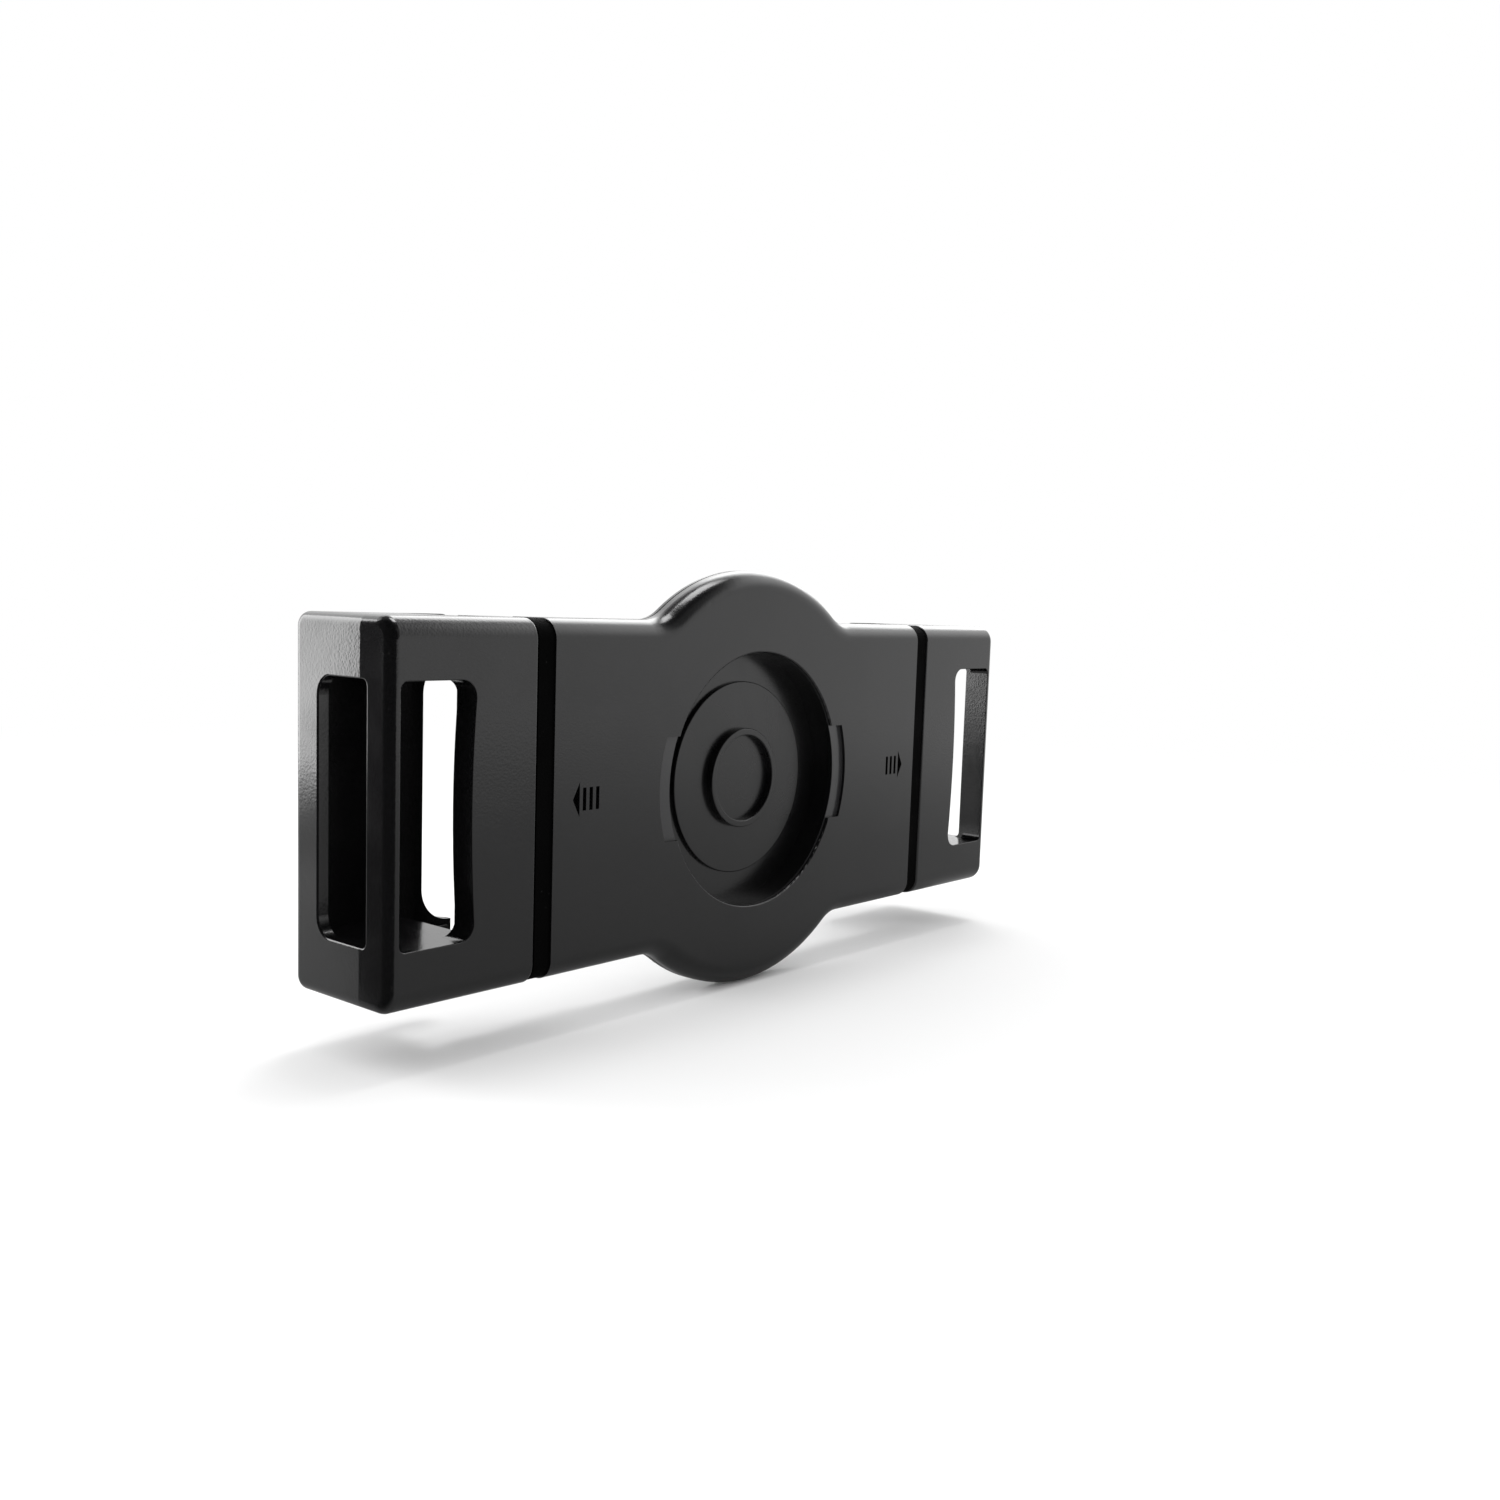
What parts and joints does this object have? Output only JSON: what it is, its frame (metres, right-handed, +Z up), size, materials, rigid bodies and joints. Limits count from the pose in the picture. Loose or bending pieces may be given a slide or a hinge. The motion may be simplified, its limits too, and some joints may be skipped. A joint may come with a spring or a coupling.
{
  "type": "tablet mount",
  "caption": "Spring-loaded tablet mount with a round quick-connect socket in its rear face and two windowed jaws.",
  "frame": {"origin": "axis of the round socket, in the plane of the rear face", "axes": "+X along the body to the right jaw as seen from behind, +Y from the rear face towards the tablet, +Z up"},
  "size_m": [0.22, 0.0322, 0.1026],
  "materials": {
    "shell_plastic": "satin, fine-grained",
    "collar_plastic": "gloss black",
    "disc_plastic": "matte black",
    "rubber": "matte",
    "slider_steel": "stamped, zinc-plated",
    "fastener_steel": "plated",
    "spring_steel": "bright drawn wire",
    "gear_acetal": "moulded natural"
  },
  "bodies": {
    "body": {"rear_shell": "shell_plastic", "front_plate": "shell_plastic", "socket_disc": "disc_plastic", "pinion_pin": "fastener_steel", "flange_screws": "fastener_steel", "middle_screws": "fastener_steel", "spring_anchors": "fastener_steel", "front_pads": "rubber", "right_collar": "collar_plastic", "left_collar": "collar_plastic"},
    "right_jaw": {"right_jaw": "shell_plastic", "right_slider": "slider_steel", "right_jaw_screws": "fastener_steel", "right_spring_rivet": "fastener_steel", "right_jaw_liners": "rubber", "right_spring": "spring_steel"},
    "left_jaw": {"left_jaw": "shell_plastic", "left_slider": "slider_steel", "left_jaw_screws": "fastener_steel", "left_spring_rivet": "fastener_steel", "left_jaw_liners": "rubber", "left_spring": "spring_steel"},
    "pinion": {"pinion": "gear_acetal"}
  },
  "joints": [
    {"name": "right_jaw_slide", "type": "slide", "parent": "body", "child": "right_jaw", "axis": [1, 0, 0], "range_m": [0, 0.045], "stiffness_N_per_m": 260, "springref_m": -0.02, "deforming": ["right_spring"]},
    {"name": "left_jaw_slide", "type": "slide", "parent": "body", "child": "left_jaw", "axis": [-1, 0, 0], "range_m": [0, 0.045], "deforming": ["left_spring"]},
    {"name": "pinion_spin", "type": "hinge", "parent": "body", "child": "pinion", "pos_m": [0, 0.0109, 0], "axis": [0, 1, 0], "range_deg": [-290, 0]}
  ],
  "couplings": [
    {"joint": "left_jaw_slide", "follows": "right_jaw_slide", "ratio": 1},
    {"joint": "pinion_spin", "follows": "right_jaw_slide", "rad_per_m": -111.11}
  ]
}
